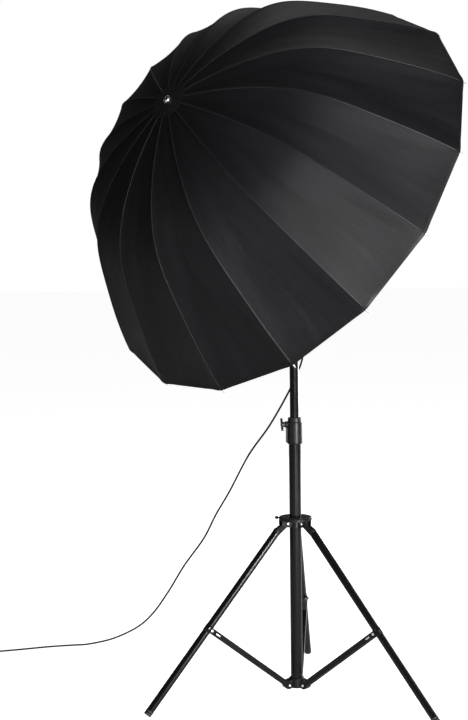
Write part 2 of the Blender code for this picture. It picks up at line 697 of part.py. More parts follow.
def make_tilt_head():
    """A block with the shaft's socket through it, an ear between the swivel's cheeks and a saddle."""
    tilt = tilt_point()
    block = box((-0.0170, -0.0150, -0.0200), (0.0170, 0.0150, 0.0200))
    ear = extruded(
        [*arc((tilt.y, tilt.z), 0.0125, 90, 270, 8), (-0.0140, -0.0190), (-0.0140, 0.0120)], 0.0105, "X",
    )
    saddle = box((-0.0120, 0.0140, -0.0600), (0.0120, LAMP_AXIS_UP - LAMP_R - GAP, -0.0060))
    head = cut(fused(block, ear, saddle), rod(SHAFT_R + CLEARANCE, (0, 0, -0.05), (0, 0, 0.05), 20))
    to_origin = Matrix.Translation(-tilt)
    head.transform(to_origin)
    put("tilt_head", head, HEAD @ Matrix.Translation(tilt), "tilt_head", BLACK_PLASTIC)

    knob = turned(
        ((0, 0), (0.0060, 0), (0.0060, 0.0050), (0.0125, 0.0065), (0.0135, 0.0100), (0.0125, 0.0200),
         (0.0100, 0.0220), (0, 0.0220)), 16,
    )
    tilt_axis = COLUMN @ Matrix.Translation((0, 0, TILT_AXIS_Z)) @ turn(AIM_AZIMUTH)
    knob_place = tilt_axis @ Matrix.Translation((-0.0153, 0, 0)) @ turn(-90, "Y")
    put("tilt_knob", knob, knob_place, "knob", BLACK_PLASTIC)
    screw = turned(
        ((0, 0), (0.0040, 0), (0.0040, 0.0045), (0.0090, 0.0055), (0.0095, 0.0160), (0.0070, 0.0180),
         (0, 0.0180)), 16,
    )
    put("shaft_knob", screw, HEAD @ Matrix.Translation((0.0173, 0, 0)) @ turn(90, "Y"), "knob", BLACK_PLASTIC)


def make_lamp():
    """A compact round light head with a dished front, a foot on the saddle and a cord relief behind."""
    back, front = LAMP_BACK, LAMP_FRONT
    body = turned(
        ((0, back - RELIEF_LENGTH), (0.0042, back - RELIEF_LENGTH), (0.0065, back), (0.0380, back),
         (LAMP_R, back + 0.008), (LAMP_R, -0.002), (0.0500, 0.006), (0.0520, 0.012), (0.0520, front),
         (0.0490, front), (0.0260, 0.006), (0, 0.004)), 24,
    )
    body.transform(Matrix.Translation((0, LAMP_AXIS_UP, 0)))
    pad = box((-0.0110, LAMP_AXIS_UP - LAMP_R, -0.0580), (0.0110, LAMP_AXIS_UP - 0.030, -0.0080))
    put("lamp_body", fused(body, pad), HEAD, "lamp_body", DARK_STEEL)


# ---- Cord

def smooth_route(points, count):
    """Equally spaced points on a Catmull-Rom curve through the given points."""
    ends = [points[0] * 2 - points[1], *points, points[-1] * 2 - points[-2]]
    fine = []
    per_span = 24
    for a, b, c, d in zip(ends, ends[1:], ends[2:], ends[3:]):
        for step in range(per_span):
            f = step / per_span
            cubic = 3 * (b - c) + d - a
            fine.append(b + 0.5 * f * (c - a + f * (2 * a - 5 * b + 4 * c - d + f * cubic)))
    fine.append(points[-1])
    reached = [0.0]
    for a, b in zip(fine, fine[1:]):
        reached.append(reached[-1] + (b - a).length)
    made, step = [], 0
    for i in range(count):
        target = reached[-1] * i / (count - 1)
        while step < len(fine) - 2 and reached[step + 1] < target:
            step += 1
        f = (target - reached[step]) / (reached[step + 1] - reached[step])
        made.append(fine[step].lerp(fine[step + 1], f))
    return made


def make_cord():
    back = LAMP_BACK - RELIEF_LENGTH
    straight = [HEAD @ Vector((0, LAMP_AXIS_UP, back - out)) for out in (2 * GAP, 0.015)]
    foot = Vector((COLUMN_X, COLUMN_Y, 0))
    route = [*straight, *(foot + Vector(p) for p in CORD_ROUTE)]
    path = smooth_route(route, CORD_POINTS)
    curve = bpy.data.curves.new("power_cord", "CURVE")
    curve.dimensions = "3D"
    curve.bevel_depth = CORD_R
    curve.bevel_resolution = 2
    curve.use_fill_caps = True
    spline = curve.splines.new("POLY")
    spline.points.add(len(path) - 1)
    for point, place in zip(spline.points, path):
        point.co = (*place, 1.0)
    cord = bpy.data.objects.new("power_cord", curve)
    cord.data.materials.append(material("cord", RUBBER))
    bpy.context.scene.collection.objects.link(cord)

    end = path[-1]
    plug = turned(
        ((0, 0), (0.0045, 0), (0.0050, 0.010), (PLUG_R - 0.002, 0.018), (PLUG_R, 0.022),
         (PLUG_R, PLUG_LENGTH - 0.002), (PLUG_R - 0.002, PLUG_LENGTH), (0, PLUG_LENGTH)), 20,
    )
    plug.transform(Matrix.Scale(PLUG_FLATNESS, 4, (1, 0, 0)))
    lift = Matrix.Translation((end.x, end.y, PLUG_FLATNESS * PLUG_R + GAP))
    place = lift @ turn(PLUG_DIRECTION) @ turn(90, "Y") @ Matrix.Translation((0, 0, GAP))
    put("plug", plug, place, "plug", RUBBER)


clear_scene()
make_column()
make_tripod()
make_swivel()
make_tilt_head()
make_lamp()
make_umbrella()
make_cord()
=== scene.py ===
"""The look of the umbrella reflector on its light stand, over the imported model."""

import json
import math

import bmesh
import bpy
from mathutils import Matrix, Vector


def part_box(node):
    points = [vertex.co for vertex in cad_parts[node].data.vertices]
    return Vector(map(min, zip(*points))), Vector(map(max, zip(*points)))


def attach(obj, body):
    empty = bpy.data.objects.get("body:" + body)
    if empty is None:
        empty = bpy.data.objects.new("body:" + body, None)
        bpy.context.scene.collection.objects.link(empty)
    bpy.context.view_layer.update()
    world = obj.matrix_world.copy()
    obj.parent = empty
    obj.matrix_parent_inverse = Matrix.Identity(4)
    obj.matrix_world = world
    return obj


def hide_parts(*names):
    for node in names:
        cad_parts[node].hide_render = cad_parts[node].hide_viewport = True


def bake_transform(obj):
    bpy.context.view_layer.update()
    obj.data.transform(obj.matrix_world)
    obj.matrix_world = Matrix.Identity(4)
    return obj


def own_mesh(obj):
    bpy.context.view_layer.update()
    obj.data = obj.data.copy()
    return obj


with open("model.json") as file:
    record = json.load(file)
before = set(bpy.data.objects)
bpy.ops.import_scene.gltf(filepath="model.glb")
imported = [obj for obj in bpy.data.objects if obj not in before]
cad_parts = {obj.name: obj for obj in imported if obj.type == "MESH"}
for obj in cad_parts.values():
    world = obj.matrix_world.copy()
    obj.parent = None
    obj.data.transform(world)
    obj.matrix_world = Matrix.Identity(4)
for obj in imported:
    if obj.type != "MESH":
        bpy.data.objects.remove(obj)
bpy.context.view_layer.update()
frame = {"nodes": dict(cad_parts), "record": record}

NODES = frame["nodes"]
JOINTS = {joint["name"]: joint for joint in frame["record"]["behaviour"]["joints"]}
RIBS = 16
LEGS = 3
UP = Vector((0, 0, 1))


# ---- Places, from the joints

def joint_point(name):
    return Vector(JOINTS[name]["pos_m"])


def joint_axis(name):
    return Vector(JOINTS[name]["axis"]).normalized()


COLUMN = Vector((*joint_point("swivel_turn").xy, 0))
COLUMN_PLACE = Matrix.Translation(COLUMN)
ALONG = -joint_axis("umbrella_fold")  # along the shaft, out through the crown
LEVEL = -joint_axis("tilt")
RIB_PIVOTS = [joint_point(f"rib_{i + 1:02d}_hinge") for i in range(RIBS)]
PIVOT_CENTRE = sum(RIB_PIVOTS, Vector()) / RIBS


def frame_at(origin, x, z):
    """A place with this origin, x and z axes."""
    y = z.cross(x)
    return Matrix.Translation(origin) @ Matrix((x, y, z)).transposed().to_4x4()


def joint_frame(name):
    """A place whose z is a joint's axis."""
    axis = joint_axis(name)
    return frame_at(joint_point(name), axis.orthogonal().normalized(), axis)


# ---- The umbrella's curve, the same as the ribs'

RIM_R = 0.6750
RIB_SLOPES = (2.0, 12.0, 27.0, 54.0, 59.0, 66.0)
CURVE_STEPS = 240
RIB_SET_IN = 0.0058  # from the cloth to the rib's middle
CLOTH = 0.0010
HEM_SHARE = 0.992
GORE_SAG = 0.045
JOINT_SHARE = 0.45  # where the stretcher meets the rib


def through(a, b, c, d, f):
    """The point a share f of the way from b to c, on a smooth curve through a, b, c and d."""
    return b + 0.5 * f * (c - a + f * (2 * a - 5 * b + 4 * c - d + f * (3 * (b - c) + d - a)))


def rib_slope(share):
    last = len(RIB_SLOPES) - 1
    step = min(int(share * last), last - 1)
    knots = (2 * RIB_SLOPES[0] - RIB_SLOPES[1], *RIB_SLOPES, 2 * RIB_SLOPES[-1] - RIB_SLOPES[-2])
    return math.radians(through(*knots[step:step + 4], share * last - step))


def rib_line():
    line = [(0.0, 0.0)]
    for i in range(CURVE_STEPS):
        slope = rib_slope((i + 0.5) / CURVE_STEPS)
        line.append((line[-1][0] + math.cos(slope), line[-1][1] - math.sin(slope)))
    scale = RIM_R / line[-1][0]
    return [(r * scale, z * scale, rib_slope(i / CURVE_STEPS)) for i, (r, z) in enumerate(line)]


LINE = rib_line()
RIB_LENGTH = sum(math.dist(a[:2], b[:2]) for a, b in zip(LINE, LINE[1:]))


def on_line(share, set_in=0.0):
    """Radius, height and slope at a share of the rib's length."""
    place = share * CURVE_STEPS
    step = min(int(place), CURVE_STEPS - 1)
    f = place - step
    r, z, slope = (a + (b - a) * f for a, b in zip(LINE[step], LINE[step + 1]))
    return r - set_in * math.sin(slope), z - set_in * math.cos(slope), slope


def share_at_radius(radius):
    return next(i for i, (r, _, _) in enumerate(LINE) if r >= radius) / CURVE_STEPS


PIVOT_R = (RIB_PIVOTS[0] - PIVOT_CENTRE).length
PIVOT_Z = on_line(share_at_radius(PIVOT_R), RIB_SET_IN)[1]
CROWN = PIVOT_CENTRE - ALONG * PIVOT_Z
RIB_FRAMES = [frame_at(CROWN, (p - PIVOT_CENTRE).normalized(), ALONG) for p in RIB_PIVOTS]
UMBRELLA = RIB_FRAMES[0]


# ---- Mesh helpers

SHARP_ABOVE = 35
CLOTH_SHARP_ABOVE = 50
BEVEL_ABOVE = 40
ROUTE_STEPS = 24


def linked(name, data, place):
    """A new object in the scene."""
    made = bpy.data.objects.new(name, data)
    bpy.context.scene.collection.objects.link(made)
    made.matrix_world = place
    return made


def new_object(name, mesh, place, body, look):
    """A piece that rides on a body."""
    made = linked(name, mesh, place)
    mesh.materials.append(look)
    mesh.shade_smooth()
    mesh.set_sharp_from_angle(angle=math.radians(SHARP_ABOVE))
    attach(made, body)
    return made


def mesh_of(bm):
    bmesh.ops.recalc_face_normals(bm, faces=bm.faces)
    mesh = bpy.data.meshes.new("shape")
    bm.to_mesh(mesh)
    bm.free()
    return mesh


def turned(profile, sides=24, closed=False, wave=0.0, waves=0):
    """A profile of (radius, height) turned about Z. A wave makes grip ridges round it."""
    bm = bmesh.new()
    rings = []
    for radius, height in profile:
        if radius == 0:
            rings.append([bm.verts.new((0, 0, height))])
            continue
        ring = []
        for i in range(sides):
            a = 2 * math.pi * i / sides
            size = radius * (1 + wave * math.cos(waves * a))
            ring.append(bm.verts.new((size * math.cos(a), size * math.sin(a), height)))
        rings.append(ring)
    pairs = list(zip(rings, rings[1:]))
    if closed:
        pairs.append((rings[-1], rings[0]))
    for lower, upper in pairs:
        for i in range(sides):
            j = (i + 1) % sides
            corners = [lower[i % len(lower)], lower[j % len(lower)]]
            corners += [upper[j % len(upper)], upper[i % len(upper)]]
            bm.faces.new(list(dict.fromkeys(corners)))
    return mesh_of(bm)


def extruded(outline, low, high, bevel=0.0):
    """An outline across Z between two heights, with rounded edges."""
    bm = bmesh.new()
    loops = [[bm.verts.new((x, y, z)) for x, y in outline] for z in (low, high)]
    for loop in loops:
        bm.faces.new(loop)
    for i in range(len(outline)):
        j = (i + 1) % len(outline)
        bm.faces.new((loops[0][i], loops[0][j], loops[1][j], loops[1][i]))
    bmesh.ops.recalc_face_normals(bm, faces=bm.faces)
    if bevel:
        sharp = math.radians(BEVEL_ABOVE)
        edges = [e for e in bm.edges if len(e.link_faces) == 2 and e.calc_face_angle() > sharp]
        bmesh.ops.bevel(bm, geom=edges, offset=bevel, segments=2, affect="EDGES", profile=0.5)
    return mesh_of(bm)


def rectangle(half_x, half_y):
    """The outline of a rectangle round the origin."""
    return [(-half_x, -half_y), (half_x, -half_y), (half_x, half_y), (-half_x, half_y)]


def arc(centre, radius, first, last, steps):
    """Points round part of a circle, from one angle to another in degrees."""
    angles = [math.radians(first + (last - first) * i / steps) for i in range(steps + 1)]
    return [(centre[0] + radius * math.cos(a), centre[1] + radius * math.sin(a)) for a in angles]


def tube_along(path, radius, sides=12):
    """A round tube along points, closed at both ends, without twist."""
    bm = bmesh.new()
    rings = []
    normal = None
    for i, point in enumerate(path):
        before, after = path[max(i - 1, 0)], path[min(i + 1, len(path) - 1)]
        tangent = (after - before).normalized()
        if normal is None:
            normal = tangent.orthogonal().normalized()
        normal = (normal - tangent * normal.dot(tangent)).normalized()
        across = tangent.cross(normal)
        size = radius[i] if isinstance(radius, list) else radius
        angles = (2 * math.pi * k / sides for k in range(sides))
        rings.append([
            bm.verts.new(point + (normal * math.cos(a) + across * math.sin(a)) * size) for a in angles
        ])
    for ring, after in zip(rings, rings[1:]):
        for k in range(sides):
            j = (k + 1) % sides
            bm.faces.new((ring[k], ring[j], after[j], after[k]))
    bm.faces.new(rings[0][::-1])
    bm.faces.new(rings[-1])
    return mesh_of(bm)


def ring_wire(radius, height, wire_r=0.0006, steps=64):
    """A wire bent into a ring about Z."""
    angles = [2 * math.pi * i / steps for i in range(steps + 1)]
    path = [Vector((radius * math.cos(a), radius * math.sin(a), height)) for a in angles]
    return tube_along(path, wire_r, 8)


def smooth_route(points, spacing):
    """Equally spaced points on a smooth curve through the given points."""
    ends = [points[0] * 2 - points[1], *points, points[-1] * 2 - points[-2]]
    fine = []
    for a, b, c, d in zip(ends, ends[1:], ends[2:], ends[3:]):
        fine += [through(a, b, c, d, step / ROUTE_STEPS) for step in range(ROUTE_STEPS)]
    fine.append(points[-1])
    reached = [0.0]
    for a, b in zip(fine, fine[1:]):
        reached.append(reached[-1] + (b - a).length)
    count = max(2, round(reached[-1] / spacing) + 1)
    made, step = [], 0
    for i in range(count):
        target = reached[-1] * i / (count - 1)
        while step < len(fine) - 2 and reached[step + 1] < target:
            step += 1
        f = (target - reached[step]) / (reached[step + 1] - reached[step])
        made.append(fine[step].lerp(fine[step + 1], f))
    return made


# ---- Materials

def nodes_of(name):
    made = bpy.data.materials.new(name)
    made.use_nodes = True
    tree = made.node_tree
    return made, tree, tree.nodes["Principled BSDF"]


def add(tree, kind, **inputs):
    node = tree.nodes.new(kind)
    for key, value in inputs.items():
        node.inputs[key.replace("_", " ")].default_value = value
    return node


def colours(tree, factor, shader, first, second, low, high):
    """The base colour, from first to second as the factor goes from low to high."""
    ramp = add(tree, "ShaderNodeValToRGB")
    for element, position, colour in zip(ramp.color_ramp.elements, (low, high), (first, second)):
        element.position = position
        element.color = (*colour, 1)
    tree.links.new(factor, ramp.inputs["Fac"])
    tree.links.new(ramp.outputs["Color"], shader.inputs["Base Color"])


def surface(name, colour, roughness, metallic=0.0, grain=600.0, bump=0.1, depth=0.0004, spread=0.25,
            patch=14.0, lighter=1.6, coat=0.0, specular=0.5):
    """Base colour and roughness that vary in soft patches, over a fine grain."""
    made, tree, shader = nodes_of(name)
    place = add(tree, "ShaderNodeTexCoord")
    patches = add(tree, "ShaderNodeTexNoise", Scale=patch, Detail=4.0, Roughness=0.6)
    fine = add(tree, "ShaderNodeTexNoise", Scale=grain, Detail=2.0, Roughness=0.5)
    for texture in (patches, fine):
        tree.links.new(place.outputs["Object"], texture.inputs["Vector"])
    light = [min(1.0, c * lighter) for c in colour]
    colours(tree, patches.outputs["Fac"], shader, colour, light, low=0.3, high=0.75)
    rough = add(tree, "ShaderNodeMapRange")
    rough.inputs["To Min"].default_value = roughness * (1 - spread)
    rough.inputs["To Max"].default_value = roughness * (1 + spread)
    tree.links.new(patches.outputs["Fac"], rough.inputs["Value"])
    tree.links.new(rough.outputs["Result"], shader.inputs["Roughness"])
    relief = add(tree, "ShaderNodeBump", Strength=bump, Distance=depth)
    tree.links.new(fine.outputs["Fac"], relief.inputs["Height"])
    tree.links.new(relief.outputs["Normal"], shader.inputs["Normal"])
    shader.inputs["Metallic"].default_value = metallic
    shader.inputs["Coat Weight"].default_value = coat
    shader.inputs["Coat Roughness"].default_value = 0.08
    shader.inputs["Specular IOR Level"].default_value = specular
    return made


THREAD = 0.0016


def cloth(name, colour, lighter, roughness, metallic, crease, specular=0.5):
    """A plain weave on the cloth's map in metres, soft tension creases along the gore, and painted shade and
    sheen on them.
    """
    made, tree, shader = nodes_of(name)
    place = add(tree, "ShaderNodeTexCoord")
    weave = add(tree, "ShaderNodeMath")
    weave.operation = "MULTIPLY"
    for i, direction in enumerate(("X", "Y")):
        wave = add(tree, "ShaderNodeTexWave", Scale=1 / THREAD, Distortion=0.4, Detail=1.0)
        wave.bands_direction = direction
        tree.links.new(place.outputs["UV"], wave.inputs["Vector"])
        tree.links.new(wave.outputs["Fac"], weave.inputs[i])
    mapping = add(tree, "ShaderNodeMapping", Scale=(2.2, 16.0, 1.0))
    tree.links.new(place.outputs["UV"], mapping.inputs["Vector"])
    folds_and_painted_shade = add(tree, "ShaderNodeTexNoise", Scale=1.0, Detail=3.0, Roughness=0.45)
    tree.links.new(mapping.outputs["Vector"], folds_and_painted_shade.inputs["Vector"])
    soft = add(tree, "ShaderNodeBump", Strength=crease, Distance=0.02)
    tree.links.new(folds_and_painted_shade.outputs["Fac"], soft.inputs["Height"])
    fine = add(tree, "ShaderNodeBump", Strength=0.35, Distance=0.0003)
    tree.links.new(weave.outputs["Value"], fine.inputs["Height"])
    tree.links.new(soft.outputs["Normal"], fine.inputs["Normal"])
    tree.links.new(fine.outputs["Normal"], shader.inputs["Normal"])
    # Painted shade and sheen: the colour runs from the first colour in the creases' hollows to the lighter
    # one on their ridges.
    colours(tree, folds_and_painted_shade.outputs["Fac"], shader, colour, lighter, low=0.3, high=0.7)
    shader.inputs["Roughness"].default_value = roughness
    shader.inputs["Metallic"].default_value = metallic
    shader.inputs["Specular IOR Level"].default_value = specular
    return made


LACQUER = surface("black lacquer", (0.0025, 0.0025, 0.003), 0.17, grain=260, bump=0.05,
                  coat=0.12, specular=0.2)
PLASTIC = surface("black plastic", (0.0045, 0.0045, 0.005), 0.38, grain=1500, bump=0.3, specular=0.22)
COLLAR_PLASTIC = surface("dark grey plastic", (0.012, 0.012, 0.013), 0.36, grain=1500, bump=0.3,
                         specular=0.35)
KNOB_PLASTIC = surface("knob plastic", (0.010, 0.010, 0.011), 0.36, grain=900, bump=0.3, specular=0.4)
LAMP_PAINT = surface("lamp paint", (0.018, 0.018, 0.019), 0.48, grain=800, bump=0.5, coat=0.1)
RUBBER = surface("black rubber", (0.012, 0.012, 0.012), 0.68, grain=1100, bump=0.4)
CORD_RUBBER = surface("cord sleeve", (0.004, 0.004, 0.004), 0.5, grain=700, bump=0.25, specular=0.15)
STEEL = surface("bright steel", (0.50, 0.50, 0.52), 0.24, 1.0, grain=900, bump=0.15, lighter=1.25)
CHROME = surface("chrome", (0.72, 0.72, 0.74), 0.10, 1.0, grain=300, bump=0.05, lighter=1.15)
RIVET = surface("rivet steel", (0.62, 0.62, 0.64), 0.30, 0.85, grain=1200, bump=0.2, lighter=1.2)
RESIN = surface("rib resin", (0.016, 0.016, 0.018), 0.35, grain=500, bump=0.2)
WHITE_PLASTIC = surface("white plastic", (0.62, 0.62, 0.60), 0.4, grain=900, bump=0.2, lighter=1.1)
BRASS = surface("plug brass", (0.55, 0.42, 0.20), 0.3, 1.0, grain=700, bump=0.15, lighter=1.2)
GLASS = surface("opal glass", (0.80, 0.80, 0.76), 0.25, grain=300, bump=0.05, lighter=1.05, coat=0.5)
# The second colour of each cloth is painted sheen on the ridges of its creases. The first is painted shade in
# their hollows.
OUTSIDE = cloth("black cloth", (0.0035, 0.0034, 0.0040), (0.0075, 0.0073, 0.0085), 0.44, 0.0,
                crease=0.16, specular=0.12)
INSIDE = cloth("silver lining", (0.50, 0.50, 0.51), (0.66, 0.66, 0.67), 0.36, 0.92, crease=0.22)
SEAM = surface("seam tape", (0.006, 0.006, 0.007), 0.42, grain=1400, bump=0.3, specular=0.21)


# ---- Camera

CAMERA_BACK = 4.7337
CAMERA_HEIGHT = 1.4327
CAMERA_LENS = 76.57
CAMERA_YAW, CAMERA_PITCH, CAMERA_ROLL = (math.radians(a) for a in (-2.25, -4.45, -0.68))


def make_camera():
    yaw, pitch, roll = CAMERA_YAW, CAMERA_PITCH, CAMERA_ROLL
    ahead = Vector((math.sin(yaw) * math.cos(pitch), math.cos(yaw) * math.cos(pitch), math.sin(pitch)))
    right = Vector((math.cos(yaw), -math.sin(yaw), 0))
    up = right.cross(ahead)
    x = right * math.cos(roll) + up * math.sin(roll)
    y = up * math.cos(roll) - right * math.sin(roll)
    data = bpy.data.cameras.new("camera")
    data.lens = CAMERA_LENS
    place = Matrix.Translation(COLUMN + Vector((0, -CAMERA_BACK, CAMERA_HEIGHT)))
    turn = Matrix((x, y, -ahead)).transposed().to_4x4()
    bpy.context.scene.camera = linked("camera", data, place @ turn)


# ---- Cords. The routes are from the column's foot.

CORD_R = 0.0030
CORD_SPACING = 0.004
CORD_FLOOR_Z = 0.0033
LAMP_ROUTE = (
    (0.169, 0.161, 1.471), (0.176, 0.168, 1.437), (0.160, 0.153, 1.395), (0.122, 0.118, 1.358),
    (0.074, 0.073, 1.330), (0.034, 0.034, 1.296), (0.0165, 0.0165, 1.240),
)
MAIN_ROUTE = (
    (0.0165, 0.0165, 1.240), (0.021, 0.023, 1.168),
    (0.029, 0.036, 1.095), (0.022, 0.045, 1.048), (0.004, 0.062, 1.008), (-0.018, 0.078, 0.955),
    (-0.079, 0.123, 0.845), (-0.149, 0.173, 0.742), (-0.214, 0.220, 0.617), (-0.261, 0.253, 0.535),
    (-0.305, 0.285, 0.448), (-0.375, 0.336, 0.346), (-0.433, 0.378, 0.248), (-0.491, 0.419, 0.163),
    (-0.550, 0.462, 0.104), (-0.640, 0.527, 0.048), (-0.735, 0.585, 0.012),
    (-0.800, 0.601, CORD_FLOOR_Z), (-0.880, 0.580, CORD_FLOOR_Z), (-0.978, 0.543, CORD_FLOOR_Z),
    (-1.075, 0.509, CORD_FLOOR_Z), (-1.150, 0.468, CORD_FLOOR_Z), (-1.198, 0.405, CORD_FLOOR_Z),
    (-1.213, 0.335, CORD_FLOOR_Z), (-1.210, 0.290, CORD_FLOOR_Z),
)
LAMP_AXIS_UP = 0.0755
RELIEF_BACK = -0.1953
EXIT_GAP = 0.0003
EXIT_STRAIGHT = 0.0147
SHAFT_SOCKET = COLUMN + Vector((0, 0, 1.533))


def on_head(x, y, z):
    """A point of the head, from the shaft's axis beside the column: across, up and along the shaft."""
    return SHAFT_SOCKET + LEVEL * x + ALONG.cross(LEVEL) * y + ALONG * z


def make_cords():
    exit_point = on_head(0, LAMP_AXIS_UP, RELIEF_BACK - EXIT_GAP)
    straight = on_head(0, LAMP_AXIS_UP, RELIEF_BACK - EXIT_STRAIGHT)
    route = [COLUMN + Vector(p) for p in (*LAMP_ROUTE, *MAIN_ROUTE[1:])]
    whole = smooth_route([exit_point, straight, *route], CORD_SPACING)
    strap = COLUMN + Vector(LAMP_ROUTE[-1])
    split = min(range(len(whole)), key=lambda i: (whole[i] - strap).length)
    for name, path in (("lamp_lead", whole[:split + 1]), ("supply_cord", whole[split:])):
        mesh = tube_along(path, CORD_R, 12)
        piece = linked(name, mesh, Matrix())
        mesh.materials.append(CORD_RUBBER)
        mesh.shade_smooth()
        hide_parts("power_cord")
        if name == "lamp_lead":
            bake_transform(piece)
        else:
            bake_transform(piece)


make_camera()
make_cords()


# ---- Canopy

HALF_COLUMNS = 9
COLUMNS = [(-1, 0.5 * i / HALF_COLUMNS) for i in range(HALF_COLUMNS, 0, -1)]
COLUMNS += [(1, 0.5 * i / HALF_COLUMNS) for i in range(HALF_COLUMNS + 1)]
ROWS = 44
CROWN_HOLE_R = 0.0062
FIRST_SHARE = 0.02
ROW_SHARES = [share_at_radius(CROWN_HOLE_R)]
ROW_SHARES += [FIRST_SHARE + (HEM_SHARE - FIRST_SHARE) * i / ROWS for i in range(ROWS + 1)]
HEM_FADE = 0.12
PUCKER_DEPTH = 0.0016
PUCKER_OUT, PUCKER_SIDE = 0.060, 0.045  # how far it reaches from the tip
PUCKER_TURN_OUT, PUCKER_TURN_SIDE = 60.0, 330.0  # its waves, in radians a metre
PUCKER_CLEAR = 0.006  # it starts beside the rib
SEAM_HALF = 0.0024
HEM_DEEP = 0.0098
TAPE_LIFT = 0.00005
STITCH_PITCH = 0.009
STITCH_IN, STITCH_LIFT, STITCH_HALF = 0.0082, 0.0009, 0.0018


def chord_at(radius):
    """The width of a gore at a radius."""
    return 2 * radius * math.sin(math.pi / RIBS)


def pucker(share, fraction, width):
    """How far the cloth is gathered in beside a rib's tip, where the hem pulls on it."""
    out = max(0.0, HEM_SHARE - share) * RIB_LENGTH
    side = fraction * width
    fade = math.exp(-(out / PUCKER_OUT) ** 2 - (side / PUCKER_SIDE) ** 2)
    wave = math.sin(side * PUCKER_TURN_SIDE + out * PUCKER_TURN_OUT)
    return PUCKER_DEPTH * fade * wave * min(1.0, side / PUCKER_CLEAR)


def cloth_point(share, fraction, side, depth=0.0):
    """A point beside a rib in the rib's frame. fraction is 0 at the rib and 0.5 halfway to the next."""
    r, z, slope = on_line(share)
    half = math.pi / RIBS
    angle = 2 * half * fraction
    chord = math.cos(half) / math.cos(half - angle)
    hem = min(1.0, max(0.0, (HEM_SHARE - share) / HEM_FADE))
    width = chord_at(r)
    sag = GORE_SAG * width * 4 * fraction * (1 - fraction) * hem * (2 - hem)
    inwards = sag + depth + pucker(share, fraction, width)
    radius = r * chord - inwards * math.sin(slope)
    return Vector((radius * math.cos(angle), side * radius * math.sin(angle), z - inwards * math.cos(slope)))


def outline_of(rows):
    """The points round the edge of a grid."""
    last = [row[-1] for row in reversed(rows)]
    return [row[0] for row in rows] + rows[-1][1:-1] + last + rows[0][-2:0:-1]


def join_edges(bm, outer, inner):
    """Faces that close the edge between two grids."""
    edge, under = outline_of(outer), outline_of(inner)
    for i in range(len(edge)):
        j = (i + 1) % len(edge)
        bm.faces.new((edge[i], edge[j], under[j], under[i]))


def petal_mesh():
    """The cloth from halfway before a rib to halfway after it: black outside, silver inside."""
    bm = bmesh.new()
    uv = bm.loops.layers.uv.new("metres")
    layers = []
    maps = {}
    for depth in (0.0, CLOTH):
        rows = []
        for share in ROW_SHARES:
            row = []
            for side, fraction in COLUMNS:
                point = cloth_point(share, fraction, side, depth)
                vert = bm.verts.new(point)
                maps[vert] = (share * RIB_LENGTH, point.y)
                row.append(vert)
            rows.append(row)
        layers.append(rows)
    for layer, rows in enumerate(layers):
        for lower, upper in zip(rows, rows[1:]):
            for a, b, c, d in zip(lower, lower[1:], upper[1:], upper):
                face = bm.faces.new((a, d, c, b) if layer == 0 else (a, b, c, d))
                face.material_index = layer
    join_edges(bm, *layers)
    for face in bm.faces:
        for loop in face.loops:
            loop[uv].uv = maps[loop.vert]
    middle = len(COLUMNS) // 2
    for rows in layers:
        for lower, upper in zip(rows, rows[1:]):
            bm.edges.get((lower[middle], upper[middle])).smooth = False
    return mesh_of(bm)


def strip_mesh(stations, thick):
    """A closed band over the cloth through stations, each a list of (share, fraction, side)."""
    bm = bmesh.new()
    layers = []
    for depth in (-TAPE_LIFT - thick, -TAPE_LIFT):
        layers.append([
            [bm.verts.new(cloth_point(share, fraction, side, depth)) for share, fraction, side in row]
            for row in stations
        ])
    for layer in layers:
        for lower, upper in zip(layer, layer[1:]):
            for a, b, c, d in zip(lower, lower[1:], upper[1:], upper):
                bm.faces.new((a, b, c, d))
    join_edges(bm, *layers)
    return mesh_of(bm)


def seam_mesh():
    """A folded seam along the rib, about 5 mm wide."""
    rows = []
    for share in ROW_SHARES[2:]:
        fraction = min(0.2, SEAM_HALF / chord_at(on_line(share)[0]))
        rows.append([(share, fraction, -1), (share, 0.0, 1), (share, fraction, 1)])
    return strip_mesh(rows, 0.0008)


def hem_mesh():
    """A folded hem, 9 mm deep."""
    shares = (HEM_SHARE - HEM_DEEP, HEM_SHARE)
    return strip_mesh([[(share, fraction, side) for side, fraction in COLUMNS] for share in shares], 0.0006)


def stitch_mesh():
    """A row of stitches along the hem, each a small raised bead."""
    bm = bmesh.new()
    share = HEM_SHARE - STITCH_IN
    radius, _, slope = on_line(share)
    up = Vector((math.sin(slope), 0, math.cos(slope))) * 0.0003
    count = int(chord_at(radius) / STITCH_PITCH)
    for i in range(count):
        place = -0.5 + (i + 0.5) / count
        if abs(place) < 0.01:
            continue
        side = 1 if place >= 0 else -1
        start, end = (
            cloth_point(share, abs(place) + d, side, -STITCH_LIFT) for d in (-STITCH_HALF, STITCH_HALF)
        )
        along = (end - start).normalized()
        across = along.cross(up).normalized() * 0.0004
        ring = [
            [bm.verts.new(p + o) for o in (across, up, -across, -up)]
            for p in (start, (start + end) / 2 + up, end)
        ]
        for a, b in zip(ring, ring[1:]):
            for k in range(4):
                bm.faces.new((a[k], a[(k + 1) % 4], b[(k + 1) % 4], b[k]))
        bm.faces.new(ring[0][::-1])
        bm.faces.new(ring[-1])
    return mesh_of(bm)


def tip_mesh():
    """The cap on a rib's tip, with a ball end that the hem is sewn to."""
    stations = ((0.9885, 0.0029), (0.9925, 0.0030), (0.9965, 0.0030),
                (0.9990, 0.0022), (1.0030, 0.0024), (1.0050, 0.0016))
    points = []
    for share, _ in stations:
        r, z, _ = on_line(share, RIB_SET_IN)
        points.append(Vector((r, 0, z)))
    return tube_along(points, [radius for _, radius in stations], 12)


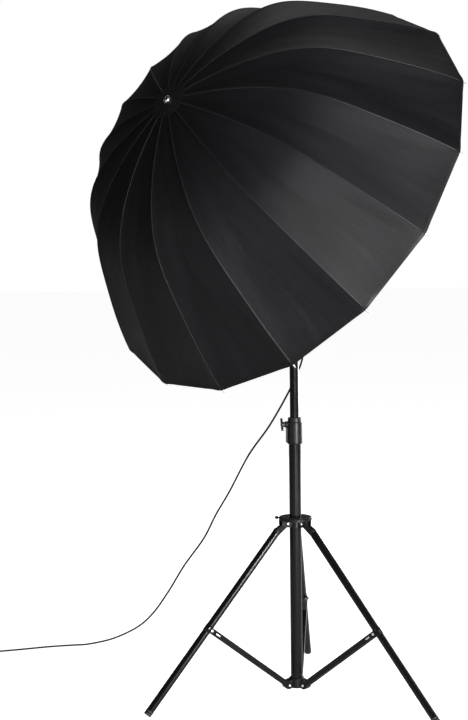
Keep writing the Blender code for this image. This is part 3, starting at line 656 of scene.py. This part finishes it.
def pin_mesh():
    """The rivet through a rib's socket and its stretcher's eye."""
    r, z, _ = on_line(JOINT_SHARE, RIB_SET_IN)
    mesh = turned(
        ((0, -0.0050), (0.0012, -0.0050), (0.0017, -0.0044), (0.0012, -0.0038), (0.0012, 0.0056),
         (0.0019, 0.0058), (0.0015, 0.0066), (0, 0.0068)), 12,
    )
    mesh.transform(Matrix.Translation((r, 0, z)) @ Matrix.Rotation(math.radians(-90), 4, "X"))
    return mesh


def smooth_keep_sharp(mesh):
    """Smooth faces, keeping a crease at the rib and at the cloth's edges."""
    sharp = [e.use_edge_sharp for e in mesh.edges]
    mesh.shade_smooth()
    mesh.set_sharp_from_angle(angle=math.radians(CLOTH_SHARP_ABOVE))
    for edge, kept in zip(mesh.edges, sharp):
        if kept:
            edge.use_edge_sharp = True


def make_canopy():
    """What each rib carries. The gores meet halfway between ribs."""
    kinds = (
        ("canopy_gore", petal_mesh(), "canopy", (OUTSIDE, INSIDE)),
        ("seam", seam_mesh(), "canopy", (SEAM,)),
        ("hem", hem_mesh(), "canopy", (OUTSIDE,)),
        ("hem_stitches", stitch_mesh(), "canopy", (KNOB_PLASTIC,)),
        ("rib_tip", tip_mesh(), "rib", (RIVET,)),
        ("rib_rivet", pin_mesh(), "stretcher", (STEEL,)),
    )
    for i, place in enumerate(RIB_FRAMES):
        name = f"{i + 1:02d}"
        body = f"rib_{name}"
        pieces = []
        for kind, shape, slot, looks in kinds:
            mesh = shape.copy()
            piece = linked(f"{kind}_{name}", mesh, Matrix())
            for look in looks:
                mesh.materials.append(look)
            mesh.transform(place)
            if kind in ("canopy_gore", "hem"):
                smooth_keep_sharp(mesh)
            else:
                mesh.shade_smooth()
            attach(piece, body)
            pieces.append(piece)
        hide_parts("canopy")
        for piece in pieces[:4]:
            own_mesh(piece)


def make_crown_parts():
    """The cloth patch under the ferrule, the ferrule's dark centre, and the ring wire in the crown."""
    shares = (0.012, 0.03, 0.05, 0.068)
    per_rib = 4
    around = per_rib * RIBS
    bm = bmesh.new()
    layers = []
    for depth in (-0.0013, -0.0004):
        layer = []
        for share in shares:
            ring = []
            for i in range(around):
                turn = Matrix.Rotation(2 * math.pi * (i // per_rib) / RIBS, 3, "Z")
                ring.append(bm.verts.new(turn @ cloth_point(share, (i % per_rib) / per_rib, 1, depth)))
            layer.append(ring)
        layers.append(layer)
    order = layers[0] + layers[1][::-1]
    for lower, upper in zip(order, order[1:] + order[:1]):
        for i in range(around):
            j = (i + 1) % around
            bm.faces.new((lower[i], lower[j], upper[j], upper[i]))
    patch = new_object("crown_patch", mesh_of(bm), UMBRELLA, "umbrella", SEAM)
    cap = turned(
        ((0, 0.0063), (0.0036, 0.0063), (0.0041, 0.0070), (0.0041, 0.0086), (0.0030, 0.0096), (0, 0.0100)),
        20,
    )
    new_object("ferrule_nut", cap, UMBRELLA, "umbrella", KNOB_PLASTIC)
    wire = ring_wire(PIVOT_R, PIVOT_Z)
    new_object("crown_wire", wire, UMBRELLA, "umbrella", STEEL)


make_canopy()
make_crown_parts()


# ---- Stand details

COLLAR_PIN_OUT = 0.0140
HUB_PIN_OUT = 0.0180
BRACE_OUT = 0.0155
HUB_PIN = Vector((0.0330, 0, 0.0420))  # out from the column, and up
LEG_PIVOT = Vector((0.0310, 0, 0.5535))
LEG_TOP = Vector((0.060, 0, 0.5346))
KNEE = Vector((0.2917, 0, 0.2445))
LEG_DOWN = Vector((0.642, 0, -0.767)).normalized()
LEG_R = 0.0119
SLOT_FROM_KNEE = 0.026
SIDES = (
    (1, "a", Matrix.Rotation(math.radians(-90), 4, "X")),
    (-1, "b", Matrix.Rotation(math.radians(90), 4, "X")),
)


def leg_frame(i, name="leg"):
    """A leg's or brace's joint, with x out from the column and z up."""
    origin = joint_point(f"{name}_{i + 1}_hinge")
    out = Vector((*(origin - COLUMN).xy, 0)).normalized()
    return frame_at(origin, out, UP)


def rivet(radius, height=0.0022):
    return turned(
        ((0, -0.001), (radius, -0.001), (radius, height * 0.35), (radius * 0.86, height * 0.75),
         (radius * 0.5, height), (0, height * 1.06)), 16,
    )


def nut(across=0.0046, height=0.0042):
    corners = [math.radians(60 * k) for k in range(6)]
    return extruded([(across * math.cos(a), across * math.sin(a)) for a in corners], -0.0005, height, 0.0005)


def make_stand_details():
    """The rivets, nuts, pins and slots of the leg linkage."""
    brace_reach = KNEE - HUB_PIN
    direction = brace_reach.normalized()
    slope = math.atan2(direction.z, direction.x)
    slot_middle = brace_reach - direction * SLOT_FROM_KNEE
    for i in range(LEGS):
        leg, brace = leg_frame(i), leg_frame(i, "brace")
        on_brace = f"brace_{i + 1}"
        for side, label, turn in SIDES:
            name = f"{i + 1}{label}"
            at_collar = leg @ Matrix.Translation((0, side * COLLAR_PIN_OUT, 0)) @ turn
            new_object(f"collar_rivet_{name}", rivet(0.0046), at_collar, "leg_slider", RIVET)
            at_hub = brace @ Matrix.Translation((0, side * HUB_PIN_OUT, 0)) @ turn
            new_object(f"hub_rivet_{name}", rivet(0.0040), at_hub, "stand", RIVET)
            knee_side = brace_reach + Vector((0, side * (BRACE_OUT + 0.0002), 0))
            at_knee = brace @ Matrix.Translation(knee_side) @ turn
            mesh = rivet(0.0050, 0.0030) if side > 0 else nut()
            new_object(f"knee_rivet_{name}", mesh, at_knee, on_brace, RIVET)
        for side, label, turn in SIDES:
            place = brace @ Matrix.Translation(slot_middle + Vector((0, side * BRACE_OUT, 0)))
            place = place @ Matrix.Rotation(-slope, 4, "Y") @ turn
            outline = [*arc((0.006, 0), 0.0022, -90, 90, 6), *arc((-0.006, 0), 0.0022, 90, 270, 6)]
            mesh = extruded(outline, -0.0004, 0.0005, 0.0001)
            new_object(f"brace_slot_{i + 1}{label}", mesh, place, on_brace, RIVET)
        pin = turned(((0, -0.0150), (0.0030, -0.0150), (0.0030, 0.0150), (0, 0.0150)), 14)
        at_pin = brace @ Matrix.Translation(brace_reach) @ SIDES[0][2]
        new_object(f"knee_pin_{i + 1}", pin, at_pin, on_brace, RIVET)


def make_leg_bands():
    """The saddle clamp round each leg at its knee, and the lip of its top plug and foot."""
    knee_down = (KNEE - LEG_TOP).dot(LEG_DOWN)
    turn = LEG_DOWN.to_track_quat("Z", "Y").to_matrix().to_4x4()
    bore = LEG_R + 0.00005
    for i in range(LEGS):
        leg = leg_frame(i)
        for name, distance, low, high, radius, look in (
            ("knee_band", knee_down, -0.011, 0.011, 0.01275, LACQUER),
            ("leg_top_lip", 0.0022, -0.0012, 0.0075, 0.01245, PLASTIC),
            ("leg_foot_lip", 0.676, -0.0030, 0.0020, 0.01235, RUBBER),
        ):
            place = leg @ Matrix.Translation(LEG_TOP - LEG_PIVOT + LEG_DOWN * distance) @ turn
            band = turned(
                ((bore, low), (radius - 0.0003, low), (radius, low + 0.0006), (radius, high - 0.0006),
                 (radius - 0.0003, high), (bore, high)), 28, closed=True,
            )
            new_object(f"{name}_{i + 1}", band, place, f"leg_{i + 1}", look)


def make_column_details():
    """The screws, rings and lips of the collars round the column."""
    out = joint_axis("lock_turn")
    side = UP.cross(out).normalized()
    for k, z in enumerate((0.822, 0.842)):
        place = frame_at(COLUMN + out * 0.0243 + side * 0.0045 + Vector((0, 0, z)), out, side)
        screw = rivet(0.0026, 0.0014)
        new_object(f"collar_screw_{k + 1}", screw, place, "stand", KNOB_PLASTIC)
    for name, profile, sides, body, slot, look in (
        ("lock_collar_ring", ((0.02345, 0.8045), (0.0241, 0.8050), (0.0241, 0.8075), (0.02345, 0.8080)),
         40, "stand", "lock_collar", PLASTIC),
        ("lock_collar_lip",
         ((0.02055, 0.8812), (0.0209, 0.8818), (0.0205, 0.8828), (0.0150, 0.8828), (0.0150, 0.8812)),
         40, "stand", "lock_collar", COLLAR_PLASTIC),
        ("leg_collar_face", ((0.0212, 0.5712), (0.0506, 0.5712), (0.0500, 0.5722), (0.0220, 0.5722)),
         48, "leg_slider", "leg_collar", COLLAR_PLASTIC),
        ("hub_ring", ((0.0240, 0.0360), (0.0246, 0.0366), (0.0246, 0.0376), (0.0240, 0.0382)),
         40, "stand", "base_hub", PLASTIC),
    ):
        new_object(name, turned(profile, sides, closed=True), COLUMN_PLACE, body, look)
    screw = turned(((0, 0.0126), (0.0030, 0.0126), (0.0030, 0.0134), (0.0022, 0.0140), (0, 0.0140)), 16)
    new_object("lock_knob_screw", screw, joint_frame("lock_turn"), "lock_knob", RIVET)
    grip = turned(
        ((0.0044, 0.0052), (0.0049, 0.0056), (0.0049, 0.0122), (0.0044, 0.0126)),
        48, closed=True, wave=0.02, waves=16,
    )
    new_object("collar_knob_grip", grip, joint_frame("collar_knob_turn"), "leg_collar_knob",
               KNOB_PLASTIC)


STRAP_TUBE_R = 0.0142
STRAP_CORD_R = CORD_R + 0.0004
STRAP_THICK = 0.0016
STRAP_LOW, STRAP_HIGH = -0.0030, 0.0120


def make_strap():
    """A hook-and-loop tie that holds the cord to the upper tube."""
    cord = Vector(LAMP_ROUTE[-1])
    direction = math.atan2(cord.y, cord.x)
    reach = math.hypot(cord.x, cord.y)
    lean = math.degrees(math.acos((STRAP_TUBE_R - STRAP_CORD_R) / reach))
    inner, outer = (
        arc((0, 0), STRAP_TUBE_R + extra, lean, 360 - lean, 30)
        + arc((reach, 0), STRAP_CORD_R + extra, -lean, lean, 10) for extra in (0.0, STRAP_THICK)
    )
    bm = bmesh.new()
    rings = []
    for loop, z in ((inner, STRAP_LOW), (outer, STRAP_LOW), (outer, STRAP_HIGH), (inner, STRAP_HIGH)):
        rings.append([bm.verts.new((x, y, z)) for x, y in loop])
    count = len(rings[0])
    for lower, upper in zip(rings, rings[1:] + rings[:1]):
        for i in range(count):
            bm.faces.new((lower[i], lower[(i + 1) % count], upper[(i + 1) % count], upper[i]))
    place = Matrix.Translation(COLUMN + Vector((0, 0, cord.z))) @ Matrix.Rotation(direction, 4, "Z")
    new_object("cord_strap", mesh_of(bm), place, "riser", RUBBER)


make_stand_details()
make_leg_bands()
make_column_details()
make_strap()


# ---- Head details. The lamp's z is along the shaft, from beside the column.

LAMP = frame_at(on_head(0, LAMP_AXIS_UP, 0), LEVEL, ALONG)
SHAFT_END_Z = -0.7230  # down the shaft from the crown
RUNNER_LATCH_Z = -0.334
RUNNER_WIRE_R, RUNNER_WIRE_Z = 0.0225, -0.3000
RIDGE_PITCH = 0.0040


def make_lamp_details():
    """The reflector, lamp, cooling fins, back panel, strain relief, switch and rim."""
    def on_lamp(name, mesh, look, place=LAMP):
        new_object(name, mesh, place, "head", look)

    on_lamp("lamp_reflector", turned(
        ((0.0485, 0.0345), (0.0262, 0.0068), (0.0180, 0.0050), (0.0180, 0.0058), (0.0266, 0.0076),
         (0.0488, 0.0349)), 48, closed=True,
    ), CHROME)
    on_lamp("lamp_glass", turned(
        ((0, 0.0045), (0.0150, 0.0045), (0.0165, 0.0120), (0.0165, 0.0220), (0.0130, 0.0290),
         (0.0070, 0.0325), (0, 0.0335)), 32,
    ), GLASS)
    for k, z in enumerate((-0.030, -0.046, -0.062, -0.078, -0.094)):
        profile = ((0.0450, z - 0.002), (0.0462, z - 0.0014), (0.0462, z + 0.0014), (0.0450, z + 0.002))
        on_lamp(f"cooling_fin_{k + 1}", turned(profile, 48, closed=True), LAMP_PAINT)
    on_lamp("back_panel", turned(
        ((0.0120, -0.1651), (0.0340, -0.1651), (0.0350, -0.1660), (0.0340, -0.1668), (0.0120, -0.1668)),
        40, closed=True,
    ), COLLAR_PLASTIC)
    for k in range(6):
        z = -0.1700 - RIDGE_PITCH * k
        radius = 0.0066 - 0.0003 * k + 0.0007
        profile = ((0.0040, z), (radius, z), (radius, z - 0.0018), (0.0040, z - 0.0018))
        on_lamp(f"relief_ridge_{k + 1}", turned(profile, 20, closed=True), RUBBER)
    place = LAMP @ Matrix.Translation((0, 0.0230, -0.1667)) @ Matrix.Rotation(math.pi, 4, "Y")
    rocker = extruded(rectangle(0.006, 0.010), 0.0, 0.003, 0.0012)
    on_lamp("power_switch", rocker, WHITE_PLASTIC, place=place)
    on_lamp("lamp_rim_grip", turned(
        ((0.0520, 0.0180), (0.0526, 0.0186), (0.0526, 0.0310), (0.0520, 0.0316)),
        56, closed=True, wave=0.004, waves=28,
    ), RUBBER)


def make_knob_details():
    """The knobs' grips, the tilt bolt's head and the bush round the shaft."""
    for joint, body, radius, low, high in (
        ("tilt_knob_turn", "tilt_knob", 0.0133, 0.0095, 0.0200),
        ("shaft_knob_turn", "shaft_knob", 0.0093, 0.0058, 0.0158),
    ):
        grip = turned(
            ((radius - 0.0008, low), (radius + 0.0009, low + 0.0010), (radius + 0.0009, high - 0.0012),
             (radius - 0.0012, high)), 72, closed=True, wave=0.03, waves=12,
        )
        new_object(f"{body}_grip", grip, joint_frame(joint), body, KNOB_PLASTIC)
    stud = turned(((0, 0), (0.0046, 0), (0.0046, 0.0030), (0.0030, 0.0042), (0, 0.0042)), 16)
    far = frame_at(joint_point("tilt") + LEVEL * 0.0151, ALONG, LEVEL)
    new_object("tilt_bolt_head", stud, far, "swivel", RIVET)
    collar = turned(((0.0048, 0.0200), (0.0075, 0.0200), (0.0070, 0.0222), (0.0048, 0.0222)), 24, closed=True)
    socket = frame_at(SHAFT_SOCKET, -LEVEL, ALONG)
    new_object("socket_bush", collar, socket, "head", STEEL)


def make_shaft_details():
    """The sleeve on the shaft's end, the stop above the runner, and the runner's latch and ring wire."""
    tail = turned(
        ((0.0042, 0.0), (0.0056, 0.0), (0.0060, 0.0020), (0.0060, 0.0054), (0.0052, 0.0064),
         (0.0042, 0.0064)), 20, closed=True,
    )
    place = UMBRELLA @ Matrix.Translation((0, 0, SHAFT_END_Z))
    new_object("shaft_end_sleeve", tail, place, "umbrella", PLASTIC)
    stop = turned(((0.0041, -0.272), (0.0064, -0.272), (0.0064, -0.264), (0.0041, -0.264)), 20, closed=True)
    new_object("runner_stop", stop, UMBRELLA, "umbrella", PLASTIC)
    outline = [(-0.0022, -0.0080), (0.0022, -0.0080), (0.0014, 0.0070), (-0.0014, 0.0070)]
    latch = extruded(outline, 0.0082, 0.0100, 0.0004)
    latch.transform(Matrix.Rotation(math.radians(90), 4, "X"))
    place = UMBRELLA @ Matrix.Translation((0, 0, RUNNER_LATCH_Z))
    new_object("runner_latch", latch, place, "runner", STEEL)
    wire = ring_wire(RUNNER_WIRE_R, RUNNER_WIRE_Z)
    new_object("runner_wire", wire, UMBRELLA, "runner", STEEL)


PLUG_DIRECTION = 275.0
PLUG_REACH = 0.0242


def make_plug_pins():
    """Two flat blades on the plug's face."""
    low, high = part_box("plug")
    middle = (Vector(low) + Vector(high)) / 2
    direction = Matrix.Rotation(math.radians(PLUG_DIRECTION), 3, "Z") @ Vector((1, 0, 0))
    side = UP.cross(direction)
    for k, offset in enumerate((-0.0050, 0.0050)):
        blade = extruded(rectangle(0.0008, 0.0030), -0.001, 0.0160, 0.0003)
        place = frame_at(middle + direction * PLUG_REACH + side * offset, side, direction)
        new_object(f"plug_blade_{k + 1}", blade, place, "stand", BRASS)


make_lamp_details()
make_knob_details()
make_shaft_details()
make_plug_pins()


# ---- Looks of the CAD pieces that show

LOOKS = {
    "lower_tube": LACQUER, "upper_tube": LACQUER, "base_hub": PLASTIC, "lock_collar": PLASTIC,
    "lock_knob": KNOB_PLASTIC, "leg_collar": PLASTIC, "leg_collar_knob": KNOB_PLASTIC,
    "swivel_bracket": PLASTIC, "tilt_head": PLASTIC, "tilt_knob": KNOB_PLASTIC,
    "shaft_knob": KNOB_PLASTIC, "lamp_body": LAMP_PAINT, "crown": PLASTIC, "runner": PLASTIC,
    "shaft": STEEL, "ferrule": STEEL, "plug": RUBBER,
}
for i in range(LEGS):
    LOOKS[f"leg_{i + 1}"] = LACQUER
    LOOKS[f"brace_{i + 1}"] = LACQUER
    LOOKS[f"foot_{i + 1}"] = RUBBER
for i in range(RIBS):
    LOOKS[f"rib_{i + 1:02d}"] = RESIN
    LOOKS[f"stretcher_{i + 1:02d}"] = STEEL
for node_name, node_look in LOOKS.items():
    slots = NODES[node_name].data.materials
    if len(slots) == 0:
        slots.append(node_look)
    for index in range(len(slots)):
        slots[index] = node_look


# ---- Floor and light

FLOOR_HALF = 40
LIGHTS = (  # name, place, target, size and power
    ("front_key", (2.7, -5.0, 0.9), (0.1, 0, 1.4), (1.3, 0.9), 500),
    ("upper_key", (3.5, -3.5, 4.0), (0.3, -0.3, 1.7), (1.4, 1.0), 110),
    ("right_strip", (3.6, -2.6, 1.6), (0.1, 0, 1.0), (0.5, 2.2), 25),
    ("left_fill", (-3.6, -3.0, 1.8), (0.1, 0, 1.2), (1.2, 1.6), 30),
    ("top", (0.2, 2.2, 4.6), (0, 0.6, 0.0), (3.0, 2.0), 14),
    ("inside_fill", (3.2, 3.6, 1.1), (0.1, 0, 1.6), (2.0, 1.4), 110),
    ("back_fill", (1.4, 5.2, 0.7), (0.1, 0, 0.6), (1.6, 1.0), 40),
)


def for_the_eye(tree, unseen, seen):
    """A strength that is one number to the camera and another to the light that reaches the model."""
    path = tree.nodes.new("ShaderNodeLightPath")
    strength = tree.nodes.new("ShaderNodeMapRange")
    strength.inputs["To Min"].default_value = unseen
    strength.inputs["To Max"].default_value = seen
    tree.links.new(path.outputs["Is Camera Ray"], strength.inputs["Value"])
    return strength.outputs["Result"]


def make_stage():
    """A wide pale floor, lifted towards white."""
    floor = linked("floor", extruded(rectangle(FLOOR_HALF, FLOOR_HALF), -0.01, -0.0002), Matrix())
    pale = surface("pale floor", (0.80, 0.80, 0.80), 0.8, grain=120, bump=0.02, lighter=1.02,
                   spread=0.03, patch=0.6)
    tree = pale.node_tree
    shader = tree.nodes["Principled BSDF"]
    shader.inputs["Emission Color"].default_value = (1, 1, 1, 1)
    tree.links.new(for_the_eye(tree, unseen=0.05, seen=0.92), shader.inputs["Emission Strength"])
    floor.data.materials.append(pale)


def make_light():
    """A white studio, with soft lights on the model, mostly from the front and the right."""
    world = bpy.data.worlds.new("studio")
    bpy.context.scene.world = world
    world.use_nodes = True
    tree = world.node_tree
    sky = tree.nodes["Background"]
    sky.inputs["Color"].default_value = (1, 1, 1, 1)
    tree.links.new(for_the_eye(tree, unseen=0.055, seen=1.0), sky.inputs["Strength"])
    for name, place, target, size, power in LIGHTS:
        data = bpy.data.lights.new(name, "AREA")
        data.shape = "RECTANGLE"
        data.size, data.size_y = size
        data.energy = power
        ahead = Vector(target) - Vector(place)
        turn = ahead.to_track_quat("-Z", "Y").to_matrix().to_4x4()
        linked(name, data, Matrix.Translation(place) @ turn)
    bpy.context.scene.view_settings.view_transform = "Standard"


make_stage()
make_light()
